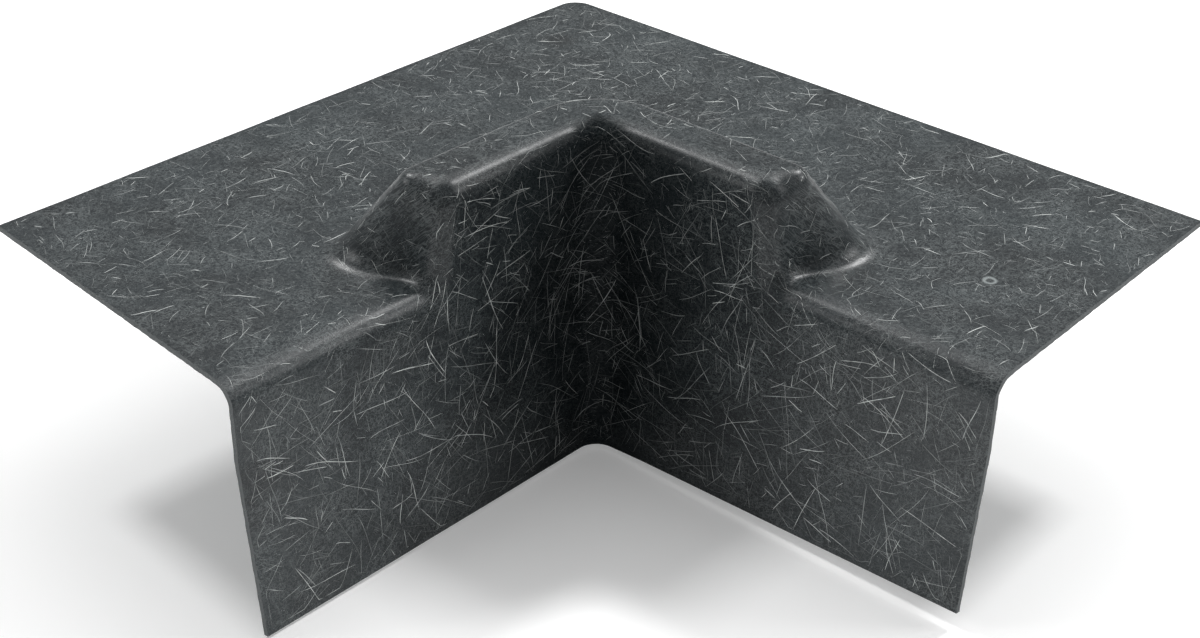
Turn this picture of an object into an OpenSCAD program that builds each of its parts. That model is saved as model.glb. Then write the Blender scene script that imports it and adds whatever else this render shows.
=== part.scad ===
// Preformed inside corner for the raised edge of a glass-fibre flat roof.
// A flat L-shaped flange lies on the roof deck. Two walls turn down from its
// notch, over the fascia boards, and meet in a rounded inside corner. A hollow
// kerb stands on the flange around that corner.
//
// The whole object is one laminate, so every node is a layer of it. Each layer
// follows one outer surface, which surface_point() defines, at its own depth.

/* [Outline] */
// Length of each fascia wall, from the inside corner to the end of the arm
wall_run = 162; // [150:1:220]
// Depth of each arm, from the wall face to the rear edge of the flange
arm_depth = 138; // [110:1:180]
// Drop of the fascia wall below the top of the flange
fascia_drop = 90; // [70:1:140]
// Radius of the outer corner at the rear of the flange
rear_corner_r = 8; // [3:0.5:15]

/* [Edges] */
// Radius over the edge where the flange and the kerb turn down into the wall
edge_r = 8.5; // [6:0.5:9]
// Radius of the inside corner between the two walls, above the kick line
inside_r = 12; // [10:0.5:18]
// Depth of the plumb band at the top of the wall
kick_drop = 27; // [22:1:40]
// Angle by which the lower wall kicks out into the notch
kick_angle = 6; // [0.5:0.5:7]
// Radius of the bend at the kick line
kick_r = 40; // [20:5:60]

/* [Kerb] */
// Height of the kerb above the flange
kerb_h = 34; // [30:1:42]
// Width of the kerb's top, from the wall face to its back edge
kerb_top = 20.5; // [18:0.5:26]
// Length of the kerb's top along each arm, from the inside corner
kerb_run = 73; // [60:0.5:85]
// Slope of the kerb's back
back_slope = 52; // [42:1:60]
// Slope of the kerb's end
end_slope = 82; // [70:1:84]
// Turn of the kerb's end face out of square
end_toe = 14; // [0:1:15]

/* [Laminate] */
// Thickness of the pigmented resin surface coat
coat_t = 0.3; // [0.2:0.1:0.6]
// Thickness of each ply of chopped strand mat in its resin
ply_t = 0.85; // [0.6:0.05:1.2]

/* [Hidden] */

// Radii where the kerb's back and its end turn over at the crest, run out at
// the foot, and turn into each other in plan.
back_crest_r = 4.5;
end_crest_r = edge_r + 1;
back_foot_r = 16;
end_foot_r = 4;
crest_turn_r = 8.5;

// Growth of the corner's plan radius with depth behind the wall. Below 1 the
// kerb's back turns the corner tighter than the front of it.
turn_growth = 0.65;

// Height to which the wall's columns hang plumb from the rolled edge. Below it
// they ease to even stations.
belt_drop = edge_r + 6;
// Nearest straight station to the inside corner.
first_run = 28;
// Step for the finite differences that give the surface normal.
probe = 0.01;

// Depths of the three layers' boundaries below the outer surface.
coat_depth = coat_t;
mid_depth = coat_t + ply_t;
full_depth = coat_t + 2 * ply_t;

// The origin is under the middle of the outline, on the surface that the two
// fascia edges stand on. The back edge of the kicked wall is its lowest line.
origin_shift = (wall_run - arm_depth) / 2;
base_z = fascia_drop + full_depth * sin(kick_angle);

function mix(a, b, f) = a + (b - a) * f;
function steps(from, to, count) = [for (i = [0:count]) mix(from, to, i / count)];

// ---- Kerb ---------------------------------------------------------------

// Half the length of the arc that rounds a bend of angle a with radius r,
// measured from the sharp corner.
function tangent_run(r, a) = r * tan(a / 2);
function ramp_run(a) = kerb_h / tan(a);

// Height of a ramp of slope a, at distance o outward from its sharp crest. It
// is rounded with crest_r at the top and foot_r at the bottom.
function ramp(o, a, crest_r, foot_r) =
    let (run = ramp_run(a),
         crest = tangent_run(crest_r, a),
         foot = tangent_run(foot_r, a))
    o <= -crest ? kerb_h
    : o < crest * cos(a) ? kerb_h - crest_r + sqrt(pow(crest_r, 2) - pow(o + crest, 2))
    : o < run - foot * cos(a) ? kerb_h - o * tan(a)
    : o < run + foot ? foot_r - sqrt(pow(foot_r, 2) - pow(run + foot - o, 2))
    : 0;

// Height of the top face above the flange, at run x along the arm and depth c
// behind the wall. The kerb's back and end share a turned corner in plan, and
// the end's crest tightens from the front of the kerb to its back.
function rise(x, c) =
    let (dx = x - (kerb_run - crest_turn_r) - (c - edge_r) * tan(end_toe),
         dc = c - (kerb_top - crest_turn_r),
         out = (dx <= 0 ? dc : dc <= 0 ? dx : norm([dx, dc])) - crest_turn_r,
         turn = dx <= 0 ? 0 : dc <= 0 ? 90 : atan2(dx, dc),
         f = (1 - cos(2 * turn)) / 2,
         front = min(1, max(0, (kerb_top - c) / (kerb_top - edge_r))))
    ramp(out, mix(back_slope, end_slope, f),
         mix(back_crest_r, end_crest_r, f * front), mix(back_foot_r, end_foot_r, f));

// Where the kerb's back runs out behind the wall, and where its end starts to
// turn down and runs out along the arm.
foot_depth = kerb_top + ramp_run(back_slope) + tangent_run(back_foot_r, back_slope);
crest_start = kerb_run - tangent_run(end_crest_r, end_slope);
foot_end = kerb_run + ramp_run(end_slope) + tangent_run(end_foot_r, end_slope);

// ---- Outer surface --------------------------------------------------------
//
// Along the arm, s counts degrees from -45 on the diagonal to 0 where the
// inside corner ends, and then millimetres along the wall.
// Up the section, w is the height on the wall up to 0, then the way around
// the rolled edge up to edge_r, and then the depth behind the wall.

// How far the wall stands out into the notch at height z.
function kick(z) =
    let (start = kick_drop - kick_r * tan(kick_angle / 2),
         end = start + kick_r * sin(kick_angle),
         d = -z)
    d <= start ? 0
    : d < end ? kick_r - sqrt(pow(kick_r, 2) - pow(d - start, 2))
    : (d - kick_drop) * tan(kick_angle);

// Plan radius of the corner at depth c: it grows over the kerb, then eases to
// the small radius at the rear of the flange.
function turn_r(c) =
    c <= foot_depth ? inside_r + turn_growth * c
    : mix(inside_r + turn_growth * foot_depth, rear_corner_r,
          (c - foot_depth) / (arm_depth - foot_depth));

// Shift of a station at depth c, so that the stations over the kerb's end keep
// to its toe. It fades out towards the corner and towards the end of the arm.
function toe_shift(s, c) =
    (min(c, foot_depth) - edge_r) * tan(end_toe)
    * min(1, (s - first_run) / (crest_start - first_run), (wall_run - s) / (wall_run - foot_end));

// Plan position at station s and depth c.
function plan(s, c) =
    let (r = turn_r(c))
    s <= 0 ? [r - c + r * sin(s), c - r + r * cos(s)]
    : s < first_run ? [mix(r - c, first_run, s / first_run), c]
    : [c > edge_r ? s + toe_shift(s, c) : s, c];

// The edge that the section rolls over, as its height and its normal there.
function outline(s) =
    let (x = plan(s, edge_r)[0],
         fall = (rise(x - probe, edge_r) - rise(x + probe, edge_r)) / (2 * probe),
         n = [fall, 1] / norm([fall, 1]))
    [rise(x, edge_r), n];

// The rolled edge itself, at angle a above plumb.
function rolled(s, a) =
    let (p = plan(s, edge_r * (1 - cos(a))), o = outline(s), inset = edge_r * (1 - sin(a)))
    [p[0] - inset * o[1][0], p[1], o[0] - inset * o[1][1]];

function surface_point(s, w) =
    w >= edge_r ? let (p = plan(s, w)) [p[0], p[1], rise(p[0], w)]
    : w >= 0 ? rolled(s, 90 * w / edge_r)
    : w > -belt_drop ? let (q = rolled(s, 0)) [q[0], q[1], mix(q[2], -belt_drop, -w / belt_drop)]
    : let (lean = rolled(s, 0)[0] - plan(s, 0)[0],
           f = (-w - belt_drop) / (fascia_drop - belt_drop))
        [each (plan(s, -kick(w)) + [mix(lean, 0, f), 0]), w];

function surface_normal(s, w) =
    let (n = cross(surface_point(s + probe, w) - surface_point(s - probe, w),
                   surface_point(s, w + probe) - surface_point(s, w - probe)))
    n / norm(n);

// A point at depth t inside the laminate.
function layer_point(s, w, t) = surface_point(s, w) - t * surface_normal(s, w);

// The other arm is the mirror image in the diagonal plane.
function swap(p) = [-p[1], -p[0], p[2]];

// ---- Grid -----------------------------------------------------------------

// Distances outward down a ramp: its crest and foot at even angles, with evenly
// spaced marks on the flank between them.
function ramp_marks(a, crest_r, foot_r, bends, flank) =
    let (crest = [for (t = steps(0, a, bends)) crest_r * sin(t) - tangent_run(crest_r, a)],
         foot = [for (t = steps(a, 0, bends))
                     ramp_run(a) + tangent_run(foot_r, a) - foot_r * sin(t)])
    concat(crest, [for (i = [1:flank]) mix(crest[bends], foot[0], i / (flank + 1))], foot);

end_marks = ramp_marks(end_slope, end_crest_r, end_foot_r, 5, 1);
back_marks = ramp_marks(back_slope, back_crest_r, back_foot_r, 4, 5);

stations = concat(
    steps(-45, 0, 4),
    [first_run, mix(first_run, crest_start, 0.5)],
    [for (m = end_marks) kerb_run + m],
    [for (f = [0.15, 0.4, 0.7, 1]) mix(foot_end, wall_run, f)]);

kick_bend = kick_r * tan(kick_angle / 2);
wall_rows = concat(
    steps(-fascia_drop, -kick_drop - kick_bend, 2),
    [-kick_drop, -kick_drop + kick_bend, -belt_drop]);
roll_rows = steps(0, edge_r, 6);
top_rows = concat(
    [for (m = back_marks) kerb_top + m],
    [for (i = [1:3]) mix(foot_depth, arm_depth, i / 3)]);
rows = concat(wall_rows, roll_rows, top_rows);

last_station = len(stations) - 1;
last_row = len(rows) - 1;
columns = 2 * last_station + 1;

// Rows where the fascia strip meets the deck mat: at the bottom of the rolled
// edge in the inner ply, and near the top of it in the outer ply.
inner_joint_row = len(wall_rows);
outer_joint_row = inner_joint_row + 5;

function grid_point(i, j, t) =
    let (p = layer_point(stations[abs(i)], rows[j], t))
    i < 0 ? swap(p) : p;

// A closed sheet between two depths of the laminate, over a band of rows.
module sheet(shallow, deep, from_row, to_row) {
    band = to_row - from_row + 1;
    half = columns * band;
    points = [for (t = [shallow, deep], i = [-last_station:last_station], j = [from_row:to_row])
        grid_point(i, j, t)];

    // Two triangles on a, b, c, d, split so that both arms match.
    function pair(a, b, c, d, flip) = flip
        ? [[a, b, d], [b, c, d]]
        : [[a, b, c], [a, c, d]];

    faces = [for (i = [0:columns - 2], j = [0:band - 2])
        let (a = i * band + j, b = a + band, flip = i < last_station)
        each concat(pair(a, a + 1, b + 1, b, !flip),
                    pair(half + a, half + b, half + b + 1, half + a + 1, flip))];
    sides = [for (i = [0:columns - 2])
        let (a = i * band, b = a + band, top = band - 1)
        each concat(pair(a, b, half + b, half + a, false),
                    pair(a + top, half + a + top, half + b + top, b + top, false))];
    ends = [for (j = [0:band - 2])
        let (a = j, z = (columns - 1) * band + j)
        each concat(pair(a, half + a, half + a + 1, a + 1, false),
                    pair(z, z + 1, half + z + 1, half + z, false))];

    translate([-origin_shift, origin_shift, base_z])
        polyhedron(points, concat(faces, sides, ends));
}

// ---- Pieces ---------------------------------------------------------------

// Resin-rich skin that the mould leaves, dark with pigment.
module surface_coat() {
    color("#3a4144") sheet(0, coat_depth, 0, last_row);
}

// Outer ply: mat over the flange and the kerb's top, back and ends.
module outer_deck_mat() {
    color("#2d3336") sheet(coat_depth, mid_depth, outer_joint_row, last_row);
}

// Outer ply: strip down the kerb's front and the fascia, folded at the corner.
module outer_fascia_mat() {
    color("#2d3336") sheet(coat_depth, mid_depth, 0, outer_joint_row);
}

// Inner ply: mat over the flange, turned down over the rolled edge.
module inner_deck_mat() {
    color("#24292b") sheet(mid_depth, full_depth, inner_joint_row, last_row);
}

// Inner ply: strip down the walls, folded at the corner.
module inner_fascia_mat() {
    color("#24292b") sheet(mid_depth, full_depth, 0, inner_joint_row);
}

surface_coat();
outer_deck_mat();
outer_fascia_mat();
inner_deck_mat();
inner_fascia_mat();
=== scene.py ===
"""Looks of the moulded inside corner for a flat roof's raised edge.

The real part is one cured laminate: a pigmented surface coat over two plies of
chopped strand mat. Every piece here follows the same moulded face as the CAD
layers do, with hand-trimmed edges, a slightly uneven face and loose strands.
"""

import logging
import math
from dataclasses import dataclass, field
from enum import Enum
from typing import Optional, Union

import bpy
import numpy as np
from mathutils import Matrix, Vector


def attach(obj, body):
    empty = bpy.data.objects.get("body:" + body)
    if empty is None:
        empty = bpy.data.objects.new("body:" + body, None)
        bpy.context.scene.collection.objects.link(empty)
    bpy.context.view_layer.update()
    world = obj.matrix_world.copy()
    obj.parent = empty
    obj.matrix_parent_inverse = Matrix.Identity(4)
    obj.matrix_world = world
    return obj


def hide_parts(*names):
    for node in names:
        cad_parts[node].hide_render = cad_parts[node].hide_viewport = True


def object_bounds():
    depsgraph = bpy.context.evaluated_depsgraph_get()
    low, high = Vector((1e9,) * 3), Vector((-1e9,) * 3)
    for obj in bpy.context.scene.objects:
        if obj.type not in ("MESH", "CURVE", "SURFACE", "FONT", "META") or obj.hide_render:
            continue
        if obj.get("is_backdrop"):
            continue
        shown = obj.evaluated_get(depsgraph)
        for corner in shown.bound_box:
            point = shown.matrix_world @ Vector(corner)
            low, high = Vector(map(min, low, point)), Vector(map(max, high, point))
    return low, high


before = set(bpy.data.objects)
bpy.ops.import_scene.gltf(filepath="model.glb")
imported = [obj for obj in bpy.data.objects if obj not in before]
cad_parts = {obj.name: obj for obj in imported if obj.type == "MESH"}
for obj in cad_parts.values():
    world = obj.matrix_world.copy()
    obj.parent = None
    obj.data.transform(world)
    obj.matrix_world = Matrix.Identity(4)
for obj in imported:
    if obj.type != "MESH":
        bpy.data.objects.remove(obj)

BODY = "root"
MM = 0.001
LOG = logging.getLogger("kerb_corner")

Number = Union[int, float]
Array = np.ndarray


def smooth_step(x: Array, low: float, high: float) -> Array:
    """A smooth rise from 0 at low to 1 at high."""
    t = np.clip((x - low) / (high - low), 0.0, 1.0)
    return t * t * (3.0 - 2.0 * t)


# ---- Node trees ---------------------------------------------------------------


class Wire:
    """A node's output socket that can be used in Python expressions."""

    def __init__(self, sheet: "NodeSheet", socket: bpy.types.NodeSocket) -> None:
        """Keeps the socket and the tree that it is in."""
        self.sheet = sheet
        self.socket = socket

    def _math(self, operation: str, *values: "Operand") -> "Wire":
        """Adds a Math node on these values."""
        return self.sheet.node(
            "ShaderNodeMath", {"operation": operation}, dict(enumerate(values))
        )

    def __add__(self, other: "Operand") -> "Wire":
        """self + other."""
        return self._math("ADD", self, other)

    def __radd__(self, other: "Operand") -> "Wire":
        """other + self."""
        return self._math("ADD", other, self)

    def __sub__(self, other: "Operand") -> "Wire":
        """self - other."""
        return self._math("SUBTRACT", self, other)

    def __rsub__(self, other: "Operand") -> "Wire":
        """other - self."""
        return self._math("SUBTRACT", other, self)

    def __mul__(self, other: "Operand") -> "Wire":
        """self * other."""
        return self._math("MULTIPLY", self, other)

    def __rmul__(self, other: "Operand") -> "Wire":
        """other * self."""
        return self._math("MULTIPLY", other, self)

    def __truediv__(self, other: "Operand") -> "Wire":
        """self / other."""
        return self._math("DIVIDE", self, other)

    def __pow__(self, other: "Operand") -> "Wire":
        """self ** other."""
        return self._math("POWER", self, other)

    def __abs__(self) -> "Wire":
        """abs(self)."""
        return self._math("ABSOLUTE", self)

    def sine(self) -> "Wire":
        """The sine of self, in radians."""
        return self._math("SINE", self)

    def at_most(self, other: "Operand") -> "Wire":
        """The lesser of self and other."""
        return self._math("MINIMUM", self, other)

    def at_least(self, other: "Operand") -> "Wire":
        """The greater of self and other."""
        return self._math("MAXIMUM", self, other)

    def rise(self, low: float, high: float) -> "Wire":
        """A smooth rise from 0 where self is low to 1 where it is high."""
        return self.sheet.node(
            "ShaderNodeMapRange",
            {"interpolation_type": "SMOOTHSTEP"},
            {"Value": self, "From Min": low, "From Max": high},
        )

    def fall(self, low: float, high: float) -> "Wire":
        """A smooth fall from 1 where self is low to 0 where it is high."""
        return 1.0 - self.rise(low, high)


Operand = Union[Wire, Number]
Value = Union[Wire, Number, tuple, str, bool, bpy.types.ID]
Key = Union[int, str]


class NodeSheet:
    """A node tree with one method that makes any node."""

    def __init__(self, tree: bpy.types.NodeTree) -> None:
        """Keeps the tree and empties it."""
        self.tree = tree
        tree.nodes.clear()

    @staticmethod
    def _find(sockets: bpy.types.bpy_prop_collection, key: Key) -> bpy.types.NodeSocket:
        """The socket at that place, or the one in use that has that name."""
        if isinstance(key, int):
            return sockets[key]
        return next(s for s in sockets if s.name == key and s.enabled)

    def add(
        self,
        kind: str,
        settings: Optional[dict[str, Value]] = None,
        inputs: Optional[dict[Key, Value]] = None,
    ) -> bpy.types.Node:
        """Makes a node.

        Args:
            kind: The node's type.
            settings: Its properties, which are set first.
            inputs: The value or link of each socket, by name or place.

        Returns:
            The node.
        """
        node = self.tree.nodes.new(kind)
        for name, value in (settings or {}).items():
            setattr(node, name, value)
        for key, value in (inputs or {}).items():
            socket = self._find(node.inputs, key)
            if isinstance(value, Wire):
                self.tree.links.new(value.socket, socket)
            else:
                socket.default_value = value
        return node

    def out(self, node: bpy.types.Node, key: Key = 0) -> Wire:
        """One of a node's outputs."""
        return Wire(self, self._find(node.outputs, key))

    def node(
        self,
        kind: str,
        settings: Optional[dict[str, Value]] = None,
        inputs: Optional[dict[Key, Value]] = None,
        output: Key = 0,
    ) -> Wire:
        """Makes a node and gives one of its outputs.

        Args:
            kind: The node's type.
            settings: Its properties, which are set first.
            inputs: The value or link of each socket, by name or place.
            output: The output, by name or place.

        Returns:
            That output.
        """
        return self.out(self.add(kind, settings, inputs), output)

    def vector(self, operation: str, *values: Value, output: Key = 0) -> Wire:
        """Adds a Vector Math node on these values."""
        return self.node(
            "ShaderNodeVectorMath",
            {"operation": operation},
            dict(enumerate(values)),
            output,
        )

    def scaled(self, value: Value, by: Operand) -> Wire:
        """A vector times a number."""
        return self.node(
            "ShaderNodeVectorMath", {"operation": "SCALE"}, {0: value, "Scale": by}
        )

    def combine(self, x: Operand, y: Operand, z: Operand) -> Wire:
        """A vector of three numbers."""
        return self.node("ShaderNodeCombineXYZ", {}, {"X": x, "Y": y, "Z": z})


class Sheen(Enum):
    """How glossy a face of the laminate is, as its mean roughness."""

    MOULDED = 0.27
    STRAND = 0.36
    CUT = 0.72
    RAW = 0.66


Colour = tuple[float, float, float]


def rgba(colour: Colour) -> tuple[float, float, float, float]:
    """A colour with full opacity, as the sockets want it."""
    return (*colour, 1.0)


class Paint(NodeSheet):
    """A material's node tree, with the textures that the finishes share."""

    def __init__(self, name: str) -> None:
        """Makes a material of that name."""
        self.material = bpy.data.materials.new(name)
        self.material.use_nodes = True
        super().__init__(self.material.node_tree)
        self.place = self.node("ShaderNodeTexCoord", {}, {}, "Object")

    def blend(self, factor: Value, a: Value, b: Value) -> Wire:
        """The colour a where factor is 0 and b where it is 1."""
        return self.node(
            "ShaderNodeMix", {"data_type": "RGBA"}, {0: factor, 6: a, 7: b}, 2
        )

    def noise(self, grain: float, detail: float = 2.0, warp: float = 0.0, seed: float = 0.0) -> Wire:
        """Cloudy noise on Object coordinates.

        Args:
            grain: Size of its features, in millimetres.
            detail: Number of finer octaves.
            warp: How far it is distorted.
            seed: Which stretch of the endless noise is used.

        Returns:
            The noise, around 0.5.
        """
        return self.node(
            "ShaderNodeTexNoise",
            {"noise_dimensions": "4D"},
            {
                "Vector": self.place,
                "W": seed,
                "Scale": 1.0 / (grain * MM),
                "Detail": detail,
                "Distortion": warp,
            },
        )

    def dashes(self, lay: Wire, angle: float, length: float, width: float, share: float) -> Wire:
        """Short soft dashes in one direction over the unrolled face.

        Args:
            lay: The unrolled place on the face, in metres.
            angle: Their direction, in degrees.
            length: Their length, in millimetres.
            width: Their width, in millimetres.
            share: The level that the noise has to reach, from 0.5 up.

        Returns:
            A mask.
        """
        turned = self.node(
            "ShaderNodeMapping",
            {},
            {
                "Vector": lay,
                "Location": (angle * MM, angle * MM, 0.0),
                "Rotation": (0.0, 0.0, math.radians(angle)),
            },
        )
        stretched = self.vector(
            "MULTIPLY", turned, (1.0 / (length * MM), 1.0 / (width * MM), 0.0)
        )
        noise = self.node(
            "ShaderNodeTexNoise",
            {"noise_dimensions": "2D"},
            {"Vector": stretched, "Scale": 1.0, "Detail": 0.0},
        )
        return noise.rise(share, share + 0.09)

    def fibres(self, grain: float, width: float, seed: float) -> Wire:
        """Fine wandering lines, as of fibres under the skin.

        Args:
            grain: Size of the bends, in millimetres.
            width: Half width of a line in the noise's own level.
            seed: Which stretch of the endless noise is used.

        Returns:
            A mask.
        """
        line = abs(self.noise(grain, 1.0, 0.6, seed) - 0.5).fall(0.2 * width, width)
        return line * self.noise(0.45 * grain, 0.0, 0.0, seed + 7.0).rise(0.47, 0.56)

    def spot(self, centre: Vector, radius: float, soft: float) -> Wire:
        """A round mask at a place on the part.

        Args:
            centre: Its centre, in metres.
            radius: Its radius, in millimetres.
            soft: The width of its soft rim, in millimetres.

        Returns:
            A mask, 1 inside.
        """
        ragged = self.noise(2.2, 1.0, 0.0, 3.0) * (0.8 * soft * MM)
        away = self.vector("DISTANCE", self.place, tuple(centre), output="Value") + ragged
        return away.fall((radius - 0.5 * soft) * MM, (radius + 0.9 * soft) * MM)

    def corner_shade(self, origin: Vector) -> Wire:
        """A mask that grows along the walls' faces towards the inside corner.

        Args:
            origin: The wall corner at deck level, in metres.

        Returns:
            The mask.
        """
        place = self.vector("SUBTRACT", self.place, tuple(origin))
        parts = self.add("ShaderNodeSeparateXYZ", {}, {"Vector": place})
        x, y = self.out(parts, "X"), self.out(parts, "Y")
        behind = y.at_least(x * -1.0)
        along = x.at_least(y * -1.0)
        return along.fall(8.0 * MM, 100.0 * MM) * behind.fall(1.0 * MM, 7.0 * MM)

    def surface(
        self,
        colour: Value,
        roughness: Operand,
        height: Optional[Wire],
        relief: float,
        gloss: float = 0.5,
        hidden: Optional[Wire] = None,
    ) -> bpy.types.Material:
        """Ends the tree in a Principled shader.

        Args:
            colour: Base colour.
            roughness: Roughness.
            height: Height for the bump, from 0 to 1, or None.
            relief: The bump's full height, in millimetres.
            gloss: Specular level.
            hidden: Mask of where the face is too deep in the corner to shine.

        Returns:
            The finished material.
        """
        inputs = {"Base Color": colour, "Roughness": roughness, "IOR": 1.53}
        if height is not None:
            inputs["Normal"] = self.node(
                "ShaderNodeBump", {}, {"Height": height, "Distance": relief * MM}
            )
        shine = self.node(
            "ShaderNodeBsdfPrincipled", {}, {**inputs, "Specular IOR Level": gloss}
        )
        if hidden is not None:
            dull = self.node(
                "ShaderNodeBsdfPrincipled", {}, {**inputs, "Specular IOR Level": 0.02}
            )
            shine = self.node("ShaderNodeMixShader", {}, {0: hidden, 1: shine, 2: dull})
        self.add("ShaderNodeOutputMaterial", {}, {"Surface": shine})
        return self.material


# ---- Finishes -------------------------------------------------------------------


@dataclass(frozen=True)
class Blemish:
    """A small mark on the moulded face.

    Args:
        centre: Its place from the wall corner at deck level, in millimetres.
        radius: Its radius, in millimetres.
        soft: The width of its soft rim, in millimetres.
        strength: How strongly it shows.
    """

    centre: tuple[float, float, float]
    radius: float
    soft: float
    strength: float


@dataclass(frozen=True)
class MouldedFinish:
    """Pigmented coat as it leaves the mould: charcoal, cloudy and full of fine strands."""

    deep: Colour = (0.006, 0.009, 0.011)
    cloudy: Colour = (0.015, 0.021, 0.024)
    strand: Colour = (0.30, 0.33, 0.33)
    dust: Colour = (0.20, 0.22, 0.225)
    shadow: Colour = (0.002, 0.003, 0.0035)
    relief: float = 0.025
    gloss: float = 0.36
    dark_marks: tuple[Blemish, ...] = ()
    pale_marks: tuple[Blemish, ...] = ()
    pinholes: tuple[Blemish, ...] = ()
    rings: tuple[Blemish, ...] = ()

    def build(self, name: str, origin: Vector) -> bpy.types.Material:
        """Makes the material.

        Args:
            name: The material's name.
            origin: The wall corner at deck level, in metres.

        Returns:
            The material.
        """
        paint = Paint(name)
        lay = paint.node("ShaderNodeUVMap", {"uv_map": Sheet.UV})
        cloud = paint.noise(38.0, 4.0, 0.4)
        grain = paint.noise(1.1, 2.0, 0.0, 5.0)
        colour = paint.blend(cloud.rise(0.3, 0.72), rgba(self.deep), rgba(self.cloudy))
        under = (paint.fibres(5.5, 0.030, 1.0) + paint.fibres(9.0, 0.018, 2.0)).at_most(1.0)
        colour = paint.blend(under * 0.09, colour, rgba(self.strand))
        flecks = paint.dashes(lay, 17.0, 2.2, 0.42, 0.66)
        for angle, length in ((58.0, 1.7), (96.0, 2.6), (131.0, 1.9), (167.0, 2.3)):
            flecks = flecks.at_least(paint.dashes(lay, angle, length, 0.40, 0.66))
        patchy = 0.35 + 0.65 * paint.noise(14.0, 2.0, 0.0, 9.0).rise(0.35, 0.65)
        colour = paint.blend(flecks * patchy * 0.22, colour, rgba(self.strand))
        dusty = paint.noise(0.55, 0.0, 0.0, 11.0).rise(0.66, 0.74)
        colour = paint.blend(dusty * 0.22, colour, rgba(self.dust))
        height = 0.5 * grain + 0.35 * flecks + 0.25 * under
        shade = paint.corner_shade(origin)
        colour = paint.blend(0.75 * shade, colour, rgba(self.shadow))
        for mark in self.dark_marks:
            spot = paint.spot(self.at(mark, origin), mark.radius, mark.soft)
            colour = paint.blend(spot * mark.strength, colour, rgba((0.008, 0.009, 0.010)))
        for mark in self.pale_marks:
            spot = paint.spot(self.at(mark, origin), mark.radius, mark.soft)
            colour = paint.blend(spot * mark.strength, colour, rgba(self.dust))
        for mark in self.pinholes:
            spot = paint.spot(self.at(mark, origin), mark.radius, mark.soft)
            colour = paint.blend(spot * mark.strength, colour, rgba((0.004, 0.004, 0.004)))
            height = height - 2.0 * spot
        for mark in self.rings:
            outer = paint.spot(self.at(mark, origin), mark.radius, mark.soft)
            inner = paint.spot(self.at(mark, origin), 0.62 * mark.radius, mark.soft)
            colour = paint.blend((outer - inner) * mark.strength, colour, rgba(self.strand))
            height = height + 1.2 * outer - 0.8 * inner
        worn = paint.noise(7.0, 3.0, 0.3, 13.0)
        roughness = Sheen.MOULDED.value - 0.08 + 0.16 * worn + 0.10 * grain
        return paint.surface(colour, roughness, height, self.relief, self.gloss, shade)

    @staticmethod
    def at(mark: Blemish, origin: Vector) -> Vector:
        """The mark's place in the row frame, in metres."""
        return origin + Vector(mark.centre) * MM


@dataclass(frozen=True)
class MatFinish:
    """Bare chopped strand mat in its resin, as on the underside."""

    resin: Colour = (0.016, 0.020, 0.022)
    cloudy: Colour = (0.034, 0.041, 0.044)
    strand: Colour = (0.21, 0.23, 0.225)
    strand_share: float = 0.42
    relief: float = 0.22

    def build(self, name: str) -> bpy.types.Material:
        """Makes the material of that name."""
        paint = Paint(name)
        lay = paint.node("ShaderNodeUVMap", {"uv_map": Sheet.UV})
        cloud = paint.noise(18.0, 4.0, 0.5)
        colour = paint.blend(cloud.rise(0.32, 0.7), rgba(self.resin), rgba(self.cloudy))
        strands = paint.dashes(lay, 8.0, 14.0, 0.8, 0.62)
        for angle, length in ((41.0, 18.0), (77.0, 12.0), (112.0, 16.0), (149.0, 20.0)):
            strands = strands.at_least(paint.dashes(lay, angle, length, 0.75, 0.62))
        colour = paint.blend(strands * self.strand_share, colour, rgba(self.strand))
        knots = paint.noise(2.4, 2.0, 0.8, 4.0)
        height = 0.55 * strands + 0.45 * knots
        roughness = Sheen.RAW.value - 0.1 + 0.2 * cloud
        return paint.surface(colour, roughness, height, self.relief)


@dataclass(frozen=True)
class CutFinish:
    """A sawn and sanded edge of the laminate, with dusty fibre ends."""

    resin: Colour = (0.045, 0.052, 0.055)
    fibre: Colour = (0.30, 0.32, 0.315)

    def build(self, name: str) -> bpy.types.Material:
        """Makes the material of that name."""
        paint = Paint(name)
        ends = paint.noise(0.5, 1.0, 0.0, 2.0).rise(0.52, 0.66)
        swarf = paint.noise(3.5, 3.0, 0.5, 6.0).rise(0.42, 0.7)
        colour = paint.blend(0.15 + 0.45 * ends * swarf, rgba(self.resin), rgba(self.fibre))
        roughness = Sheen.CUT.value + 0.12 * swarf
        return paint.surface(colour, roughness, 0.6 * ends + 0.4 * swarf, 0.12)


@dataclass(frozen=True)
class StrandFinish:
    """Glass strands wetted by the resin, each with its own tone."""

    dull: Colour = (0.040, 0.048, 0.050)
    bright: Colour = (0.86, 0.90, 0.88)
    shadow: Colour = (0.004, 0.005, 0.005)

    def build(self, name: str, origin: Vector) -> bpy.types.Material:
        """Makes the material.

        Args:
            name: The material's name.
            origin: The wall corner at deck level, in metres.

        Returns:
            The material.
        """
        paint = Paint(name)
        tone = paint.node(
            "ShaderNodeAttribute", {"attribute_name": StrandField.TONE}, {}, "Fac"
        )
        fade = paint.noise(4.0, 1.0, 0.0, 1.0).rise(0.32, 0.6)
        tone = tone * (0.35 + 0.65 * fade)
        shade = paint.corner_shade(origin)
        colour = paint.blend(tone, rgba(self.dull), rgba(self.bright))
        colour = paint.blend(0.6 * shade, colour, rgba(self.shadow))
        roughness = Sheen.STRAND.value + 0.2 * paint.noise(1.5, 0.0, 0.0, 2.0)
        return paint.surface(colour, roughness, None, 0.0)


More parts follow.
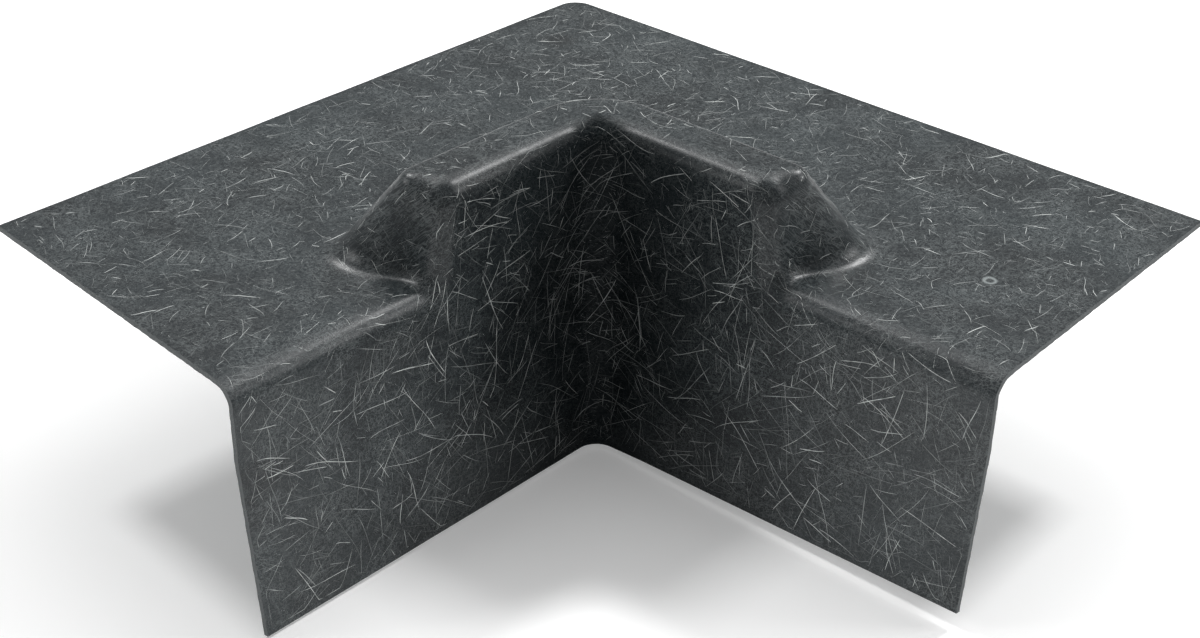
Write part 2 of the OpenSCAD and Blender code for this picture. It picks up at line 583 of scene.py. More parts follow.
@dataclass(frozen=True)
class FloorFinish:
    """Matt white studio paper."""

    paper: Colour = (0.92, 0.92, 0.92)
    glow: float = 0.16

    def build(self, name: str) -> bpy.types.Material:
        """Makes the material of that name."""
        paint = Paint(name)
        tooth = paint.noise(6.0, 1.0)
        colour = paint.blend(0.04 * tooth, rgba(self.paper), rgba((0.8, 0.8, 0.8)))
        material = paint.surface(colour, 0.9, None, 0.0, 0.1)
        shader = material.node_tree.nodes["Principled BSDF"]
        shader.inputs["Emission Color"].default_value = rgba((1.0, 1.0, 1.0))
        shader.inputs["Emission Strength"].default_value = self.glow
        return material


# ---- Moulded face ---------------------------------------------------------------


class Arm(Enum):
    """The two arms of the part, and the sign of their columns."""

    RIGHT = 1
    LEFT = -1


@dataclass(frozen=True)
class MouldedFace:
    """The outer face of the laminate, as the mould gives it, in millimetres.

    It is laid out along the arm by s and up the section by w. s counts degrees
    from -45 on the diagonal to 0 where the inside corner ends, and then
    millimetres along the wall. w is the height on the wall up to 0, then the
    way around the rolled edge up to edge_r, and then the depth behind the wall.
    """

    wall_run: float = 162.0
    arm_depth: float = 138.0
    fascia_drop: float = 90.0
    rear_corner_r: float = 8.0
    edge_r: float = 8.5
    inside_r: float = 12.0
    kick_drop: float = 27.0
    kick_angle: float = math.radians(6.0)
    kick_r: float = 40.0
    kerb_h: float = 34.0
    kerb_top: float = 20.5
    kerb_run: float = 73.0
    back_slope: float = math.radians(52.0)
    end_slope: float = math.radians(82.0)
    end_toe: float = math.radians(14.0)
    back_crest_r: float = 4.5
    end_crest_r: float = 9.5
    back_foot_r: float = 16.0
    end_foot_r: float = 4.0
    crest_turn_r: float = 8.5
    turn_growth: float = 0.65
    first_run: float = 28.0
    laminate: float = 2.0
    probe: float = 0.01

    @property
    def belt_drop(self) -> float:
        """Height to which the wall's columns hang plumb from the rolled edge."""
        return self.edge_r + 6.0

    @property
    def foot_depth(self) -> float:
        """Depth at which the kerb's back runs out."""
        run = self.kerb_h / math.tan(self.back_slope)
        return self.kerb_top + run + self.back_foot_r * math.tan(self.back_slope / 2)

    @property
    def crest_start(self) -> float:
        """Station at which the kerb's end starts to turn down."""
        return self.kerb_run - self.end_crest_r * math.tan(self.end_slope / 2)

    @property
    def foot_end(self) -> float:
        """Station at which the kerb's end runs out."""
        run = self.kerb_h / math.tan(self.end_slope)
        return self.kerb_run + run + self.end_foot_r * math.tan(self.end_slope / 2)

    @property
    def origin(self) -> Vector:
        """The wall corner at deck level in the row frame, in metres."""
        shift = (self.wall_run - self.arm_depth) / 2
        base = self.fascia_drop + self.laminate * math.sin(self.kick_angle)
        return Vector((-shift, shift, base)) * MM

    def ramp(self, o: Array, slope: Array, crest_r: Array, foot_r: Array) -> Array:
        """Height of a ramp with a rounded crest and foot.

        Args:
            o: Distance outward from its sharp crest.
            slope: Its slope, in radians.
            crest_r: Radius at the crest.
            foot_r: Radius at the foot.

        Returns:
            The height above the deck.
        """
        run = self.kerb_h / np.tan(slope)
        crest = crest_r * np.tan(slope / 2)
        foot = foot_r * np.tan(slope / 2)
        over = np.sqrt(np.maximum(crest_r**2 - (o + crest) ** 2, 0.0))
        under = np.sqrt(np.maximum(foot_r**2 - (run + foot - o) ** 2, 0.0))
        return np.select(
            [
                o <= -crest,
                o < crest * np.cos(slope),
                o < run - foot * np.cos(slope),
                o < run + foot,
            ],
            [
                self.kerb_h + 0 * o,
                self.kerb_h - crest_r + over,
                self.kerb_h - o * np.tan(slope),
                foot_r - under,
            ],
            0 * o,
        )

    def rise(self, x: Array, c: Array) -> Array:
        """Height of the top face at run x along the arm and depth c behind the wall."""
        dx = x - (self.kerb_run - self.crest_turn_r)
        dx = dx - (c - self.edge_r) * math.tan(self.end_toe)
        dc = c - (self.kerb_top - self.crest_turn_r)
        near = np.where(dx <= 0, dc, np.where(dc <= 0, dx, np.hypot(dx, dc)))
        turn = np.where(dx <= 0, 0, np.where(dc <= 0, math.pi / 2, np.arctan2(dx, dc)))
        f = (1 - np.cos(2 * turn)) / 2
        front = np.clip((self.kerb_top - c) / (self.kerb_top - self.edge_r), 0, 1)
        return self.ramp(
            near - self.crest_turn_r,
            self.back_slope + (self.end_slope - self.back_slope) * f,
            self.back_crest_r + (self.end_crest_r - self.back_crest_r) * f * front,
            self.back_foot_r + (self.end_foot_r - self.back_foot_r) * f,
        )

    def kick(self, z: Array) -> Array:
        """How far the wall stands out into the notch at height z."""
        start = self.kick_drop - self.kick_r * math.tan(self.kick_angle / 2)
        end = start + self.kick_r * math.sin(self.kick_angle)
        bend = self.kick_r - np.sqrt(np.maximum(self.kick_r**2 - (-z - start) ** 2, 0.0))
        straight = (-z - self.kick_drop) * math.tan(self.kick_angle)
        return np.select([-z <= start, -z < end], [0 * z, bend], straight)

    def turn_r(self, c: Array) -> Array:
        """Plan radius of the corner at depth c."""
        grown = self.inside_r + self.turn_growth * self.foot_depth
        f = (c - self.foot_depth) / (self.arm_depth - self.foot_depth)
        return np.where(
            c <= self.foot_depth,
            self.inside_r + self.turn_growth * c,
            grown + (self.rear_corner_r - grown) * f,
        )

    def toe_shift(self, s: Array, c: Array) -> Array:
        """Shift of a station at depth c that keeps it to the toe of the kerb's end."""
        fade = np.minimum(
            (s - self.first_run) / (self.crest_start - self.first_run),
            (self.wall_run - s) / (self.wall_run - self.foot_end),
        )
        depth = np.minimum(c, self.foot_depth) - self.edge_r
        return depth * math.tan(self.end_toe) * np.minimum(1.0, fade)

    def plan(self, s: Array, c: Array) -> tuple[Array, Array]:
        """Plan position at station s and depth c."""
        r = self.turn_r(c)
        a = np.radians(s)
        near = (r - c) + (self.first_run - (r - c)) * s / self.first_run
        far = np.where(c > self.edge_r, s + self.toe_shift(s, c), s)
        x = np.select([s <= 0, s < self.first_run], [r - c + r * np.sin(a), near], far)
        return x, np.where(s <= 0, c - r + r * np.cos(a), c)

    def rolled(self, s: Array, angle: Array) -> Array:
        """The rolled edge at that angle above plumb, in radians."""
        px, py = self.plan(s, self.edge_r * (1 - np.cos(angle)))
        x = self.plan(s, self.edge_r + 0 * s)[0]
        c = self.edge_r + 0 * x
        fall = (self.rise(x - self.probe, c) - self.rise(x + self.probe, c)) / (2 * self.probe)
        length = np.hypot(fall, 1.0)
        inset = self.edge_r * (1 - np.sin(angle))
        return np.stack(
            [px - inset * fall / length, py, self.rise(x, c) - inset / length], -1
        )

    def point(self, s: Array, w: Array) -> Array:
        """The face at station s and section place w, on the right arm."""
        s, w = np.broadcast_arrays(np.asarray(s, float), np.asarray(w, float))
        px, py = self.plan(s, w)
        top = np.stack([px, py, self.rise(px, w)], -1)
        roll = self.rolled(s, np.pi / 2 * np.clip(w, 0, self.edge_r) / self.edge_r)
        belt = self.rolled(s, 0 * w)
        lean = belt[..., 0] - self.plan(s, 0 * w)[0]
        belt[..., 2] += (-self.belt_drop - belt[..., 2]) * np.clip(-w / self.belt_drop, 0, 1)
        wx, wy = self.plan(s, -self.kick(w))
        f = (-w - self.belt_drop) / (self.fascia_drop - self.belt_drop)
        wall = np.stack([wx + lean * (1 - f), wy, w], -1)
        return np.select(
            [
                (w >= self.edge_r)[..., None],
                (w >= 0)[..., None],
                (w > -self.belt_drop)[..., None],
            ],
            [top, roll, belt],
            wall,
        )

    def normal(self, s: Array, w: Array) -> Array:
        """The outward normal at station s and section place w."""
        along = self.point(s + self.probe, w) - self.point(s - self.probe, w)
        up = self.point(s, w + self.probe) - self.point(s, w - self.probe)
        n = np.cross(along, up)
        return n / np.linalg.norm(n, axis=-1, keepdims=True)


@dataclass(frozen=True)
class Trim:
    """How one arm's edges were cut by hand, in millimetres.

    Args:
        short: How far the wall's end falls short at the top.
        slip: How much further it falls short at the bottom.
        rake: Slope of the arm's end away from square.
        drop: Depth of the wall's lower edge at the end of the arm.
        corner_drop: Its depth at the inside corner.
    """

    short: float
    slip: float
    rake: float
    drop: float
    corner_drop: float = 88.7

    def lower(self, face: MouldedFace, s: Array, w: Array) -> Array:
        """Section place with the lower edge moved up to the cut."""
        along = np.clip(s / face.wall_run, 0, 1)
        drop = self.corner_drop + (self.drop - self.corner_drop) * along
        start = face.kick_drop + 4.0
        f = np.clip((-w - start) / (face.fascia_drop - start), 0, 1)
        return w + (face.fascia_drop - drop) * f

    def shorten(self, face: MouldedFace, s: Array, w: Array) -> Array:
        """How far the end of the arm is pulled in."""
        saw = 0.12 + 0.10 * np.sin(0.9 * w) * np.sin(0.37 * w + 1.0)
        cut = self.short + saw + self.rake * np.maximum(w, 0) - self.slip * np.minimum(w, 0) / 90.0
        return cut * np.clip((s - face.foot_end) / (face.wall_run - face.foot_end), 0, 1)


@dataclass(frozen=True)
class Unevenness:
    """Waviness of the laminate, which only sinks below the mould's nominal face."""

    skin: float = 0.10
    wave: float = 0.16
    pucker: float = 0.10

    def noise(self, p: Array, size: float, seed: int) -> Array:
        """Smooth waves of about that size in millimetres, from 0 to 1."""
        rng = np.random.default_rng(seed)
        total = np.zeros(p.shape[:-1])
        for _ in range(7):
            way = rng.normal(size=3)
            way *= rng.uniform(0.6, 1.5) * 2 * math.pi / (size * np.linalg.norm(way))
            total += np.sin(p @ way + rng.uniform(0, 2 * math.pi))
        return 0.5 + 0.5 * np.clip(total / 4.5, -1, 1)

    def depths(self, p: Array, layers: tuple[float, ...]) -> list[Array]:
        """Depth of each boundary between the layers.

        Args:
            p: Points on the nominal face.
            layers: Nominal depth of each boundary, the outer face first.

        Returns:
            The uneven depth of each.
        """
        sink = self.skin + self.wave * self.noise(p, 55.0, 3)
        sink = sink + 0.3 * self.pucker * self.noise(p, 9.0, 4)
        rough = self.pucker * self.noise(p, 3.5, 5) + self.pucker * self.noise(p, 12.0, 6)
        share = (1.0, 0.7, 0.4, 0.0)
        return [
            depth + share[i] * sink + (rough if i == len(layers) - 1 else 0.0)
            for i, depth in enumerate(layers)
        ]


# ---- Laminate sheets ------------------------------------------------------------


@dataclass
class Mould:
    """The fine grid on which every layer of the laminate is laid."""

    face: MouldedFace = field(default_factory=MouldedFace)
    uneven: Unevenness = field(default_factory=Unevenness)
    right: Trim = Trim(short=0.0, slip=0.7, rake=0.044, drop=85.0)
    left: Trim = Trim(short=1.2, slip=1.2, rake=0.09, drop=89.6)
    boundaries: tuple[float, ...] = (0.0, 0.3, 1.15, 2.0)
    end_bends: int = 14
    end_flank: int = 8
    rear_cut: float = 0.25

    def __post_init__(self) -> None:
        """Lays out the grid."""
        face = self.face
        self.stations = np.concatenate(
            [
                self.marks([(-45.0, 0.0, 14), (0.0, face.first_run, 14)])[:-1],
                np.linspace(face.first_run, face.crest_start, 20, endpoint=False),
                self.end_marks(),
                np.linspace(face.foot_end, face.wall_run, 39)[1:],
            ]
        )
        kick = face.kick_r * math.tan(face.kick_angle / 2)
        self.rows = self.marks(
            [
                (-face.fascia_drop, -face.kick_drop - kick, 30),
                (-face.kick_drop - kick, -face.kick_drop + kick, 4),
                (-face.kick_drop + kick, -face.belt_drop, 4),
                (-face.belt_drop, 0.0, 7),
                (0.0, face.edge_r, 9),
                (face.edge_r, face.foot_depth, 36),
                (face.foot_depth, face.arm_depth, 42),
            ]
        )
        self.rolled_row = int(np.searchsorted(self.rows, 0.0))
        self.crown_row = int(np.searchsorted(self.rows, face.edge_r * 75 / 90 - 0.4))
        left = self.lay(self.left)
        right = self.lay(self.right)
        mirror = np.array([[0, -1, 0], [-1, 0, 0], [0, 0, 1.0]])
        left = [g @ mirror for g in left]
        self.points = [
            np.concatenate([a[:0:-1], b]) for a, b in zip(self.sink(*left), self.sink(*right))
        ]

    @staticmethod
    def marks(bands: list[tuple[float, float, int]]) -> Array:
        """Even marks in each band, with shared ends only once."""
        inner = [np.linspace(a, b, n, endpoint=False) for a, b, n in bands]
        return np.concatenate([*inner, [bands[-1][1]]])

    def end_marks(self) -> Array:
        """Stations down the kerb's end: its crest and foot at even angles."""
        face = self.face
        slope = face.end_slope
        bend = np.linspace(0, slope, self.end_bends)
        crest = face.end_crest_r * (np.sin(bend) - math.tan(slope / 2))
        run = face.kerb_h / math.tan(slope)
        foot = run + face.end_foot_r * (math.tan(slope / 2) - np.sin(bend[::-1]))
        flank = np.linspace(crest[-1], foot[0], self.end_flank)[1:-1]
        return face.kerb_run + np.concatenate([crest, flank, foot])

    def lay(self, trim: Trim) -> tuple[Array, Array]:
        """Trimmed points and normals of one arm."""
        s, w = np.meshgrid(self.stations, self.rows, indexing="ij")
        w = trim.lower(self.face, s, w)
        w = np.minimum(w, self.face.arm_depth - self.rear_cut)
        p = self.face.point(s, w)
        n = self.face.normal(s, w)
        p[..., 0] -= trim.shorten(self.face, s, w)
        return p, n

    def sink(self, p: Array, n: Array) -> list[Array]:
        """The points of each boundary, in the row frame, in metres."""
        origin = np.array(self.face.origin)
        depths = self.uneven.depths(p, self.boundaries)
        return [(p - d[..., None] * n) * MM + origin for d in depths]

    def unrolled(self) -> tuple[Array, Array]:
        """Unrolled place of each grid point for the two arms, in metres."""
        origin = np.array(self.face.origin)
        p = self.points[0] - origin
        right = np.stack([p[..., 0], p[..., 1] + p[..., 2]], -1)
        left = np.stack([-p[..., 1], p[..., 2] - p[..., 0]], -1)
        return right, left


@dataclass
class Sheet:
    """One layer of the laminate between two boundaries, over a band of rows."""

    name: str
    mould: Mould
    shallow: int
    deep: int
    first_row: int
    last_row: int

    UV = "lay"

    def grid(self) -> tuple[Array, int, int]:
        """Vertices of both faces, and the number of columns and of rows."""
        rows = slice(self.first_row, self.last_row + 1)
        front = self.mould.points[self.shallow][:, rows]
        back = self.mould.points[self.deep][:, rows]
        return np.concatenate([front.reshape(-1, 3), back.reshape(-1, 3)]), *front.shape[:2]

    def build(self, face: bpy.types.Material, cut: bpy.types.Material) -> bpy.types.Object:
        """Makes the closed sheet.

        Args:
            face: Material of its two faces.
            cut: Material of its cut rims.

        Returns:
            The object.
        """
        points, columns, band = self.grid()
        half = columns * band
        i, j = np.meshgrid(np.arange(columns - 1), np.arange(band - 1), indexing="ij")
        a = (i * band + j).ravel()
        b = a + band
        front = np.stack([a, b, b + 1, a + 1], -1)
        back = np.stack([a, a + 1, b + 1, b], -1) + half
        k = np.arange(columns - 1) * band
        m = np.arange(band - 1)
        top = band - 1
        z = (columns - 1) * band + m
        rims = np.concatenate(
            [
                np.stack([k, half + k, half + k + band, k + band], -1),
                np.stack([k + top, k + band + top, half + k + band + top, half + k + top], -1),
                np.stack([m, m + 1, half + m + 1, half + m], -1),
                np.stack([z, half + z, half + z + 1, z + 1], -1),
            ]
        )
        faces = np.concatenate([front, back, rims])
        mesh = bpy.data.meshes.new(self.name)
        mesh.from_pydata(points.tolist(), [], faces.tolist())
        mesh.materials.append(face)
        mesh.materials.append(cut)
        kinds = np.zeros(len(faces), np.int32)
        kinds[2 * len(front):] = 1
        mesh.polygons.foreach_set("material_index", kinds)
        self.unroll(mesh, faces, columns, band)
        mesh.shade_smooth()
        mesh.set_sharp_from_angle(angle=math.radians(42.0))
        mesh.validate()
        return link(self.name, mesh)

    def unroll(self, mesh: bpy.types.Mesh, faces: Array, columns: int, band: int) -> None:
        """Gives the sheet a UV map in metres that follows the face without stretch."""
        rows = slice(self.first_row, self.last_row + 1)
        right, left = (g[:, rows].reshape(-1, 2) for g in self.mould.unrolled())
        half = columns * band
        corner = faces % half
        on_left = corner.max(1) // band <= columns // 2
        uv = np.where(on_left[:, None, None], left[corner], right[corner])
        layer = mesh.uv_layers.new(name=self.UV)
        layer.data.foreach_set("uv", uv.astype(np.float32).ravel())


def link(name: str, mesh: bpy.types.Mesh) -> bpy.types.Object:
    """Puts a mesh in the scene as an object of that name."""
    piece = bpy.data.objects.new(name, mesh)
    bpy.context.scene.collection.objects.link(piece)
    return piece


@dataclass
class Laminate:
    """The five layers that make up the part."""

    mould: Mould
    finish: MouldedFinish
    mat: MatFinish = field(default_factory=MatFinish)
    edge: CutFinish = field(default_factory=CutFinish)

    def sheets(self) -> list[Sheet]:
        """The layers, from the moulded face inward."""
        last = len(self.mould.rows) - 1
        crown, roll = self.mould.crown_row, self.mould.rolled_row
        return [
            Sheet("surface_coat", self.mould, 0, 1, 0, last),
            Sheet("outer_deck_mat", self.mould, 1, 2, crown, last),
            Sheet("outer_fascia_mat", self.mould, 1, 2, 0, crown),
            Sheet("inner_deck_mat", self.mould, 2, 3, roll, last),
            Sheet("inner_fascia_mat", self.mould, 2, 3, 0, roll),
        ]

    def build(self) -> None:
        """Makes every layer in place of the CAD part of that name, which it hides."""
        moulded = self.finish.build("moulded_coat", self.mould.face.origin)
        mat = self.mat.build("chopped_strand_mat")
        cut = self.edge.build("cut_laminate")
        for sheet in self.sheets():
            coat = sheet.name == "surface_coat"
            piece = sheet.build(moulded if coat else mat, cut)
            piece.name = sheet.name + "_layer"
            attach(piece, BODY)
            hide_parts(sheet.name)
            LOG.info("%s: %d faces", piece.name, len(piece.data.polygons))


# ---- Glass strands --------------------------------------------------------------


class Bed(Enum):
    """The face that a field of strands lies on."""

    DECK = "deck"
    FASCIA = "fascia"
    UNDERSIDE = "underside"


@dataclass(frozen=True)
class StrandField:
    """A field of glass strands that lie in one face of the laminate.

    Args:
        name: The piece's name.
        bed: The face that they lie on.
        slot: The layer that they belong with; not used.
        per_area: Strands on each square metre.
        shortest: Length of the shortest, in millimetres.
        longest: Length of the longest, in millimetres.
        skew: Above 1, most strands are short.
        radius: Mean half thickness, in millimetres.
        sunk: Depth of a strand's middle below the face, in millimetres.
        bow: How far a strand bends, as a share of its length.
        joints: Points along a strand.
        seed: Seed of the random draws.
    """

    name: str
    bed: Bed
    slot: str
    per_area: float
    shortest: float
    longest: float
    skew: float
    radius: float
    sunk: float
    bow: float
    joints: int
    seed: int

    TONE = "tone"

    def bed_mesh(self, mould: Mould) -> bpy.types.Object:
        """The open face that the strands lie on, a little inside the cut edges."""
        crown = mould.crown_row
        last = len(mould.rows) - 1
        bands = {
            Bed.DECK: (crown - 3, last - 1, 0, False),
            Bed.FASCIA: (1, crown - 3, 0, False),
            Bed.UNDERSIDE: (1, last - 1, 3, True),
        }
        low, high, layer, under = bands[self.bed]
        grid = mould.points[layer][1:-1, low:high + 1]
        columns, band = grid.shape[:2]
        i, j = np.meshgrid(np.arange(columns - 1), np.arange(band - 1), indexing="ij")
        a = (i * band + j).ravel()
        b = a + band
        loop = [a, a + 1, b + 1, b] if under else [a, b, b + 1, a + 1]
        mesh = bpy.data.meshes.new(self.name)
        mesh.from_pydata(grid.reshape(-1, 3).tolist(), [], np.stack(loop, -1).tolist())
        return link(self.name + "_bed", mesh)

    def tree(self, finish: bpy.types.Material) -> tuple[bpy.types.NodeTree, dict[str, str]]:
        """Builds the node tree.

        Args:
            finish: The strands' material.

        Returns:
            The tree, and the identifier of each input by its name.
        """
        group = bpy.data.node_groups.new(self.name + "_lay", "GeometryNodeTree")
        names = {}
        group.interface.new_socket("Bed", in_out="INPUT", socket_type="NodeSocketGeometry")
        for name in ("Per area", "Shortest", "Longest", "Skew", "Radius", "Sunk", "Bow"):
            socket = group.interface.new_socket(name, in_out="INPUT", socket_type="NodeSocketFloat")
            names[name] = socket.identifier
        for name in ("Joints", "Seed"):
            socket = group.interface.new_socket(name, in_out="INPUT", socket_type="NodeSocketInt")
            names[name] = socket.identifier
        group.interface.new_socket("Strands", in_out="OUTPUT", socket_type="NodeSocketGeometry")
        sheet = NodeSheet(group)
        given = sheet.add("NodeGroupInput")
        inp = {name: sheet.out(given, name) for name in ("Bed", *names)}

        def draw(low: Operand, high: Operand, turn: int) -> Wire:
            """One random number for each strand."""
            return sheet.node(
                "FunctionNodeRandomValue",
                {"data_type": "FLOAT"},
                {"Min": low, "Max": high, "Seed": inp["Seed"] + turn},
                "Value",
            )

        def keep(geometry: Wire, name: str, value: Wire) -> Wire:
            """Stores a number on each strand."""
            return sheet.node(
                "GeometryNodeStoreNamedAttribute",
                {"data_type": "FLOAT", "domain": "POINT"},
                {"Geometry": geometry, "Name": name, "Value": value},
                "Geometry",
            )

        def kept(name: str) -> Wire:
            """Reads a stored number."""
            return sheet.node(
                "GeometryNodeInputNamedAttribute",
                {"data_type": "FLOAT"},
                {"Name": name},
                "Attribute",
            )

        spread = sheet.add(
            "GeometryNodeDistributePointsOnFaces",
            {"distribute_method": "RANDOM"},
            {"Mesh": inp["Bed"], "Density": inp["Per area"], "Seed": inp["Seed"]},
        )
        spin = sheet.node(
            "FunctionNodeAxisAngleToRotation",
            {},
            {"Axis": (0.0, 0.0, 1.0), "Angle": draw(0.0, 2 * math.pi, 1)},
        )
        way = sheet.node(
            "FunctionNodeRotateRotation",
            {"rotation_space": "LOCAL"},
            {"Rotation": sheet.out(spread, "Rotation"), "Rotate By": spin},
        )
        share = draw(0.0, 1.0, 2) ** inp["Skew"]
        length = inp["Shortest"] + (inp["Longest"] - inp["Shortest"]) * share
        points = keep(sheet.out(spread, "Points"), "span", length)
        points = keep(points, "bow", draw(-1.0, 1.0, 3))
        points = keep(points, "curl", draw(-1.0, 1.0, 4))
        points = keep(points, "girth", draw(0.65, 1.35, 5))
        points = keep(points, self.TONE, draw(0.0, 1.0, 6) ** 1.6)
        line = sheet.node(
            "GeometryNodeCurvePrimitiveLine",
            {"mode": "POINTS"},
            {"Start": (-0.5, 0.0, 0.0), "End": (0.5, 0.0, 0.0)},
        )
        line = sheet.node(
            "GeometryNodeResampleCurve", {}, {"Curve": line, "Count": inp["Joints"]}
        )
        laid = sheet.node(
            "GeometryNodeInstanceOnPoints",
            {},
            {
                "Points": points,
                "Instance": line,
                "Rotation": way,
                "Scale": sheet.combine(kept("span"), 1.0, 1.0),
            },
        )
        laid = sheet.node("GeometryNodeRealizeInstances", {}, {"Geometry": laid})
        along = sheet.node("GeometryNodeSplineParameter", {}, {}, "Factor")
        across = self.bed_normal(sheet, inp["Bed"], sheet.node("GeometryNodeInputPosition"))
        side = sheet.vector("CROSS_PRODUCT", across, sheet.node("GeometryNodeInputTangent"))
        arch = 4.0 * along * (1.0 - along) * kept("bow")
        wave = (along * (2 * math.pi)).sine() * kept("curl") * 0.35
        push = (arch + wave) * kept("span") * inp["Bow"]
        laid = sheet.node(
            "GeometryNodeSetPosition", {}, {"Geometry": laid, "Offset": sheet.scaled(side, push)}
        )
        nearest = sheet.node(
            "GeometryNodeProximity", {"target_element": "FACES"}, {0: inp["Bed"]}, "Position"
        )
        down = sheet.scaled(self.bed_normal(sheet, inp["Bed"], nearest), inp["Sunk"] * -1.0)
        laid = sheet.node(
            "GeometryNodeSetPosition",
            {},
            {"Geometry": laid, "Position": sheet.vector("ADD", nearest, down)},
        )
        taper = 1.0 - 0.7 * abs(2.0 * along - 1.0) ** 4.0
        ring = sheet.node(
            "GeometryNodeCurvePrimitiveCircle",
            {"mode": "RADIUS"},
            {"Resolution": 3, "Radius": 1.0},
        )
        tubes = sheet.node(
            "GeometryNodeCurveToMesh",
            {},
            {
                "Curve": laid,
                "Profile Curve": ring,
                "Scale": taper * kept("girth") * inp["Radius"],
                "Fill Caps": True,
            },
        )
        tubes = sheet.node("GeometryNodeRealizeInstances", {}, {"Geometry": tubes})
        tubes = sheet.node("GeometryNodeSetMaterial", {}, {"Geometry": tubes, "Material": finish})
        sheet.add("NodeGroupOutput", {}, {"Strands": tubes})
        return group, names

    @staticmethod
    def bed_normal(sheet: NodeSheet, bed: Wire, place: Wire) -> Wire:
        """The bed's normal nearest to a place."""
        return sheet.node(
            "GeometryNodeSampleNearestSurface",
            {"data_type": "FLOAT_VECTOR"},
            {
                "Mesh": bed,
                "Value": sheet.node("GeometryNodeInputNormal"),
                "Sample Position": place,
            },
            "Value",
        )

    def build(self, mould: Mould, finish: bpy.types.Material) -> bpy.types.Object:
        """Grows the strands and makes them a plain mesh.

        Args:
            mould: The grid that they lie on.
            finish: Their material.

        Returns:
            The piece.
        """
        bed = self.bed_mesh(mould)
        tree, names = self.tree(finish)
        modifier = bed.modifiers.new("strands", "NODES")
        modifier.node_group = tree
        values = {
            "Per area": self.per_area,
            "Shortest": self.shortest * MM,
            "Longest": self.longest * MM,
            "Skew": self.skew,
            "Radius": self.radius * MM,
            "Sunk": self.sunk * MM,
            "Bow": self.bow,
            "Joints": self.joints,
            "Seed": self.seed,
        }
        for name, value in values.items():
            modifier[names[name]] = value
        graph = bpy.context.evaluated_depsgraph_get()
        mesh = bpy.data.meshes.new_from_object(bed.evaluated_get(graph))
        bed.modifiers.clear()
        bpy.data.objects.remove(bed)
        piece = link(self.name, mesh)
        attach(piece, BODY)
        LOG.info("%s: %d faces", self.name, len(mesh.polygons))
        return piece


def strand_fields() -> list[StrandField]:
    """The fields of strands over the part."""
    return [
        StrandField("deck_strands", Bed.DECK, "surface_coat",
                    52000, 3.0, 15.0, 2.2, 0.10, 0.03, 0.08, 6, 11),
        StrandField("deck_flecks", Bed.DECK, "surface_coat",
                    355000, 0.5, 2.6, 1.5, 0.14, 0.03, 0.0, 2, 12),
        StrandField("fascia_strands", Bed.FASCIA, "surface_coat",
                    62000, 4.0, 28.0, 2.0, 0.10, 0.03, 0.05, 8, 13),
        StrandField("fascia_flecks", Bed.FASCIA, "surface_coat",
                    560000, 0.5, 2.6, 1.5, 0.14, 0.03, 0.0, 2, 14),
        StrandField("underside_strands", Bed.UNDERSIDE, "inner_deck_mat",
                    24000, 12.0, 45.0, 1.2, 0.22, 0.05, 0.14, 9, 15),
    ]


# ---- Studio ---------------------------------------------------------------------


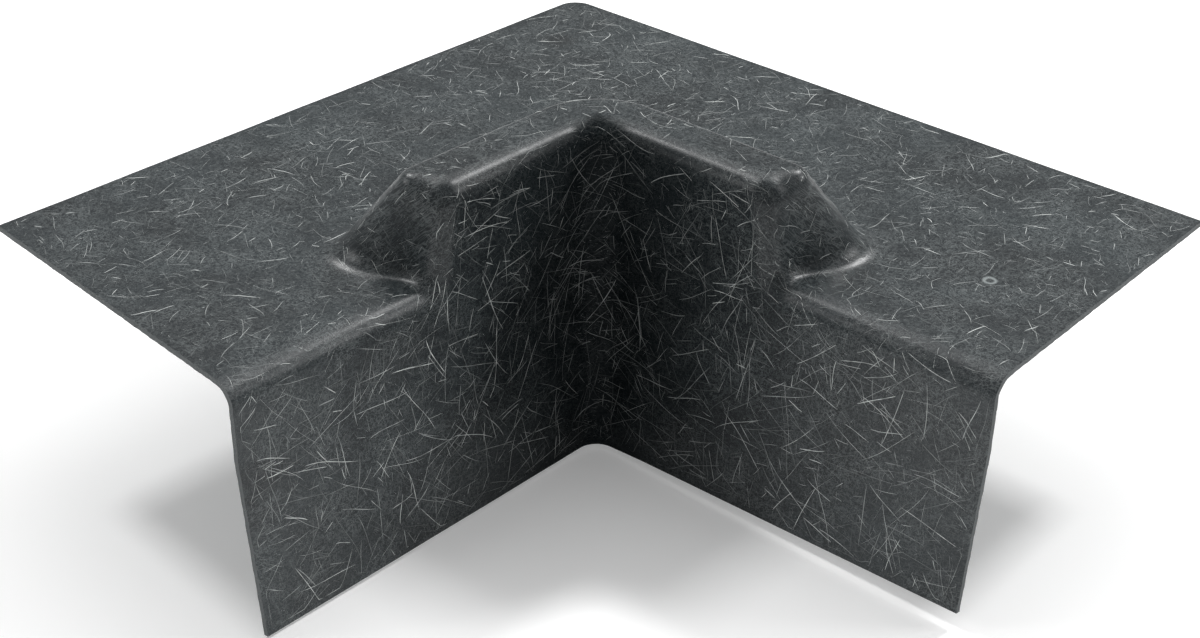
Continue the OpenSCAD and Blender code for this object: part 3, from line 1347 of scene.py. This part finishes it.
@dataclass(frozen=True)
class SoftBox:
    """A square soft light.

    Args:
        name: Its name.
        place: Its place from the part's middle, in metres.
        side: Its side, in metres.
        power: Its power, in watts.
    """

    name: str
    place: tuple[float, float, float]
    side: float
    power: float

    def build(self, aim: Vector) -> None:
        """Hangs the light so that it faces the aim."""
        data = bpy.data.lights.new(self.name, "AREA")
        data.shape = "SQUARE"
        data.size = self.side
        data.energy = self.power
        lamp = bpy.data.objects.new(self.name, data)
        lamp.location = aim + Vector(self.place)
        lamp.rotation_euler = (-Vector(self.place)).to_track_quat("-Z", "Y").to_euler()
        bpy.context.scene.collection.objects.link(lamp)
        lamp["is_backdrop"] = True


@dataclass(frozen=True)
class Studio:
    """White floor, soft light and the camera."""

    azimuth: float = math.radians(41.697)
    elevation: float = math.radians(30.2502)
    roll: float = 0.0169
    distance: float = 0.6563
    aim: tuple[float, float, float] = (0.05046, -0.05532, 0.0)
    lens: float = 62.83
    shift_x: float = 0.00147
    floor_side: float = 30.0
    floor_gap: float = 0.0005
    sky: float = 0.33

    def floor(self) -> None:
        """Lays the white floor just under the part."""
        half = self.floor_side / 2
        corners = [(-half, -half), (half, -half), (half, half), (-half, half)]
        mesh = bpy.data.meshes.new("floor")
        mesh.from_pydata([(x, y, -self.floor_gap) for x, y in corners], [], [(0, 1, 2, 3)])
        mesh.materials.append(FloorFinish().build("studio_paper"))
        link("floor", mesh)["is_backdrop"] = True

    def light(self, middle: Vector) -> None:
        """Lights the part from above and behind, with a white surround."""
        world = bpy.data.worlds.new("white_surround")
        world.use_nodes = True
        sheet = NodeSheet(world.node_tree)
        sky = sheet.node(
            "ShaderNodeBackground", {}, {"Color": (1.0, 1.0, 1.0, 1.0), "Strength": self.sky}
        )
        sheet.add("ShaderNodeOutputWorld", {}, {"Surface": sky})
        bpy.context.scene.world = world
        for box in (
            SoftBox("overhead_box", (-0.35, 0.40, 1.25), 1.1, 6.4),
            SoftBox("left_edge_box", (0.20, 0.85, 0.98), 0.20, 9.0),
            SoftBox("right_edge_box", (-0.78, -0.14, 1.05), 0.20, 6.5),
            SoftBox("right_end_box", (0.95, 0.95, 0.75), 0.45, 5.0),
            SoftBox("left_end_box", (-0.95, -1.0, 0.75), 0.45, 3.5),
        ):
            box.build(middle)

    def camera(self, origin: Vector) -> None:
        """Sets up the camera.

        Args:
            origin: The wall corner at deck level, in metres.
        """
        back = Vector(
            (
                math.sin(self.azimuth) * math.cos(self.elevation),
                -math.cos(self.azimuth) * math.cos(self.elevation),
                math.sin(self.elevation),
            )
        )
        right = Vector((math.cos(self.azimuth), math.sin(self.azimuth), 0.0))
        up = back.cross(right)
        turn = Matrix.Rotation(self.roll, 3, back)
        right, up = turn @ right, turn @ up
        data = bpy.data.cameras.new("camera")
        data.lens = self.lens
        data.sensor_width = 36.0
        data.shift_x = self.shift_x
        data.clip_start = 0.01
        data.clip_end = 100.0
        camera = bpy.data.objects.new("camera", data)
        place = origin + Vector(self.aim) + self.distance * back
        axes = Matrix((right, up, back)).transposed().to_4x4()
        camera.matrix_world = Matrix.Translation(place) @ axes
        bpy.context.scene.collection.objects.link(camera)
        bpy.context.scene.camera = camera

    def build(self, face: MouldedFace) -> None:
        """Sets up the whole studio around the part."""
        low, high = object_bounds()
        self.floor()
        self.light((low + high) / 2)
        self.camera(face.origin)
        bpy.context.scene.view_settings.view_transform = "Standard"
        LOG.info("studio ready")


def main() -> None:
    """Builds the part, its strands and the studio."""
    logging.basicConfig(level=logging.INFO, format="%(name)s: %(message)s")
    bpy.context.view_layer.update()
    mould = Mould()
    finish = MouldedFinish(
        dark_marks=(Blemish((-111.7, 100.5, 0.0), 7.0, 6.0, 0.55),),
        pale_marks=(
            Blemish((2.5, -2.5, -62.0), 2.0, 1.2, 0.7),
            Blemish((5.0, -4.0, -65.0), 1.4, 0.9, 0.6),
            Blemish((76.4, 2.0, 8.0), 1.6, 1.5, 0.6),
        ),
        pinholes=(Blemish((74.7, 0.5, 20.0), 0.6, 0.5, 0.8),),
        rings=(Blemish((125.9, 51.3, 0.0), 2.6, 0.8, 0.7),),
    )
    Laminate(mould, finish).build()
    strand = StrandFinish().build("wetted_strand", mould.face.origin)
    for strands in strand_fields():
        strands.build(mould, strand)
    Studio().build(mould.face)


if __name__ == "__main__":
    main()
